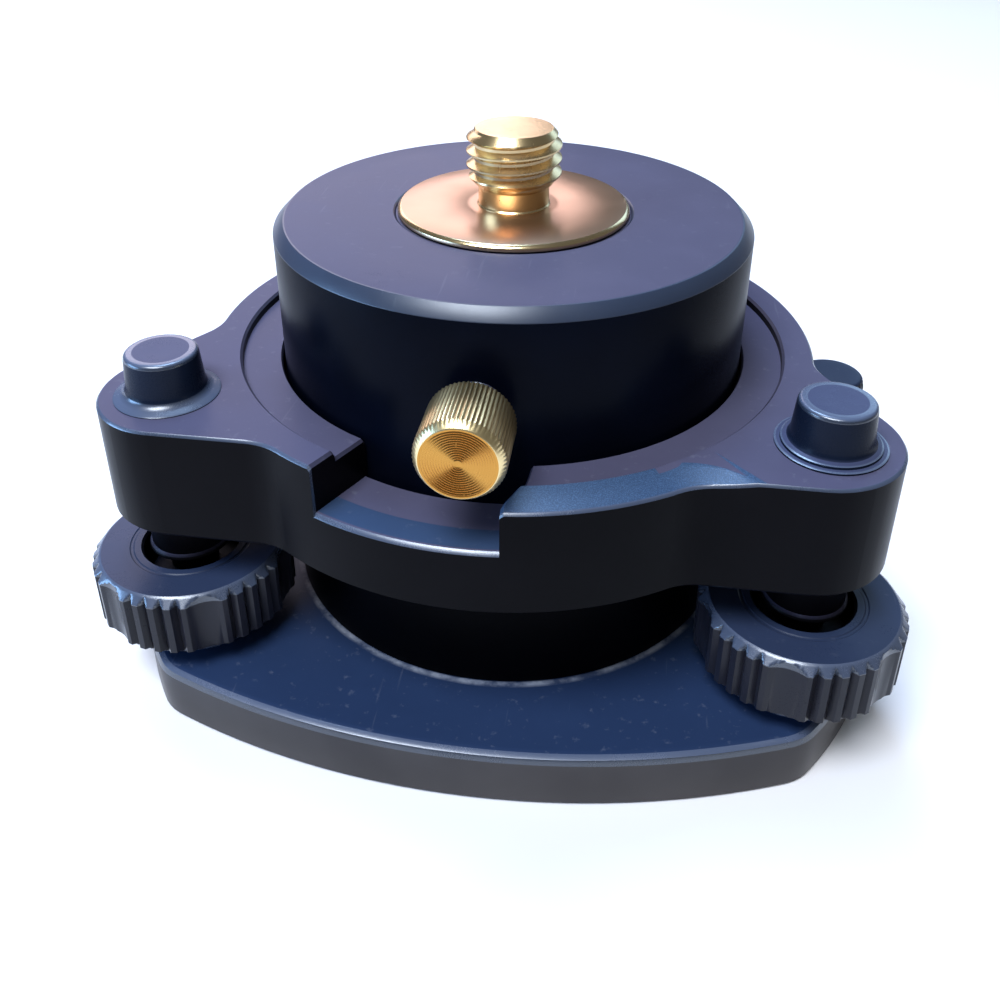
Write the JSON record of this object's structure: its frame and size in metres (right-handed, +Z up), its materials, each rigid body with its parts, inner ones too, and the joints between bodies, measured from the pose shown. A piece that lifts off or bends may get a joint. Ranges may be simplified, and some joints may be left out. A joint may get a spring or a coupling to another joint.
{
  "type": "surveying tribrach with stud adapter",
  "caption": "Black levelling base with three foot screws, carrying a round adapter with a rotating brass stud and a knurled brass clamp screw.",
  "frame": {"origin": "centre of the base plate's underside, on the mouth of the tripod thread", "axes": "+Z up along the stud; the clamp screw faces -Y; foot screws at -150, -30 and 90 degrees"},
  "size_m": [0.1374, 0.1328, 0.0924],
  "materials": {
    "base_black": "satin black anodised",
    "hub_black": "satin black anodised, worn at the foot",
    "body_black": "satin black anodised, bright worn edges",
    "cap_black": "satin black anodised",
    "knob_black": "satin black anodised",
    "lever_black": "satin black anodised",
    "ring_black": "blackened",
    "level_black": "satin black anodised",
    "drum_black": "satin black anodised",
    "screw_steel": "plain",
    "spindle_steel": "turned",
    "spring_steel": "rolled",
    "bush_brass": "turned",
    "stud_brass": "polished",
    "clamp_brass": "turned and knurled",
    "white_acetal": "plain",
    "level_glass": "polished"
  },
  "bodies": {
    "base": {"base_plate": "base_black", "hub_skirt": "hub_black", "skirt_screws": "screw_steel", "tripod_bush": "bush_brass", "bush_screws": "screw_steel", "spring_plate": "spring_steel", "spring_plate_screws": "screw_steel", "ball_seat_left": "bush_brass", "ball_seat_right": "bush_brass", "ball_seat_rear": "bush_brass", "ball_retainer_left": "ring_black", "ball_retainer_right": "ring_black", "ball_retainer_rear": "ring_black"},
    "upper": {"tribrach_body": "body_black", "thread_bush_left": "bush_brass", "thread_bush_right": "bush_brass", "thread_bush_rear": "bush_brass", "dust_sleeve_left": "body_black", "dust_sleeve_right": "body_black", "dust_sleeve_rear": "body_black", "dust_cap_left": "cap_black", "dust_cap_right": "cap_black", "dust_cap_rear": "cap_black", "seat_pads": "spindle_steel", "lock_housing": "body_black", "housing_screws": "screw_steel", "lock_retainer": "spring_steel", "retainer_screws": "screw_steel", "wave_spring": "spring_steel", "level_housing": "level_black", "level_vial": "level_glass", "level_screws": "bush_brass"},
    "lock": {"lock_plate": "spring_steel", "lock_lever": "lever_black", "lever_screw": "screw_steel"},
    "adapter": {"adapter_drum": "drum_black", "top_bush": "bush_brass", "bottom_bush": "bush_brass", "thrust_washer": "white_acetal", "locking_stud_left": "spindle_steel", "locking_stud_right": "spindle_steel", "locking_stud_rear": "spindle_steel"},
    "spindle": {"brass_spindle": "stud_brass", "spindle_washer": "spring_steel", "spindle_nut": "spindle_steel"},
    "clamp_pad": {"clamp_pad": "clamp_brass"},
    "clamp_screw": {"clamp_shank": "spindle_steel", "clamp_knob": "clamp_brass"},
    "foot_screw_left": {"spindle_left": "spindle_steel", "knob_left": "knob_black", "knob_nut_left": "spindle_steel"},
    "foot_screw_right": {"spindle_right": "spindle_steel", "knob_right": "knob_black", "knob_nut_right": "spindle_steel"},
    "foot_screw_rear": {"spindle_rear": "spindle_steel", "knob_rear": "knob_black", "knob_nut_rear": "spindle_steel"}
  },
  "joints": [
    {"name": "foot_left_turn", "type": "hinge", "parent": "base", "child": "foot_screw_left", "pos_m": [-0.05205, -0.03005, 0.0076], "axis": [0, 0, 1], "range_deg": [-1935, 1935]},
    {"name": "foot_right_turn", "type": "hinge", "parent": "base", "child": "foot_screw_right", "pos_m": [0.05205, -0.03005, 0.0076], "axis": [0, 0, 1], "range_deg": [-1935, 1935]},
    {"name": "foot_rear_turn", "type": "hinge", "parent": "base", "child": "foot_screw_rear", "pos_m": [0, 0.0601, 0.0076], "axis": [0, 0, 1], "range_deg": [-1935, 1935]},
    {"name": "body_lift", "type": "slide", "parent": "base", "child": "upper", "axis": [0, 0, 1], "range_m": [-0.004, 0.004]},
    {"name": "lock_turn", "type": "hinge", "parent": "upper", "child": "lock", "pos_m": [0, 0, 0.0395], "axis": [0, 0, 1], "range_deg": [0, 35]},
    {"name": "adapter_lift", "type": "slide", "parent": "upper", "child": "adapter", "axis": [0, 0, 1], "range_m": [0, 0.02]},
    {"name": "spindle_spin", "type": "hinge", "parent": "adapter", "child": "spindle", "pos_m": [0, 0, 0.0785], "axis": [0, 0, 1], "continuous": true},
    {"name": "clamp_advance", "type": "slide", "parent": "adapter", "child": "clamp_pad", "axis": [0, -1, 0], "range_m": [0, 0.001]},
    {"name": "clamp_turn", "type": "hinge", "parent": "clamp_pad", "child": "clamp_screw", "pos_m": [0, -0.0434, 0.063], "axis": [0, -1, 0], "range_deg": [0, 725]}
  ],
  "couplings": [
    {"joint": "foot_left_turn", "follows": "body_lift", "rad_per_m": -8377.6},
    {"joint": "foot_right_turn", "follows": "body_lift", "rad_per_m": -8377.6},
    {"joint": "foot_rear_turn", "follows": "body_lift", "rad_per_m": -8377.6},
    {"joint": "clamp_turn", "follows": "clamp_advance", "rad_per_m": 12566}
  ]
}
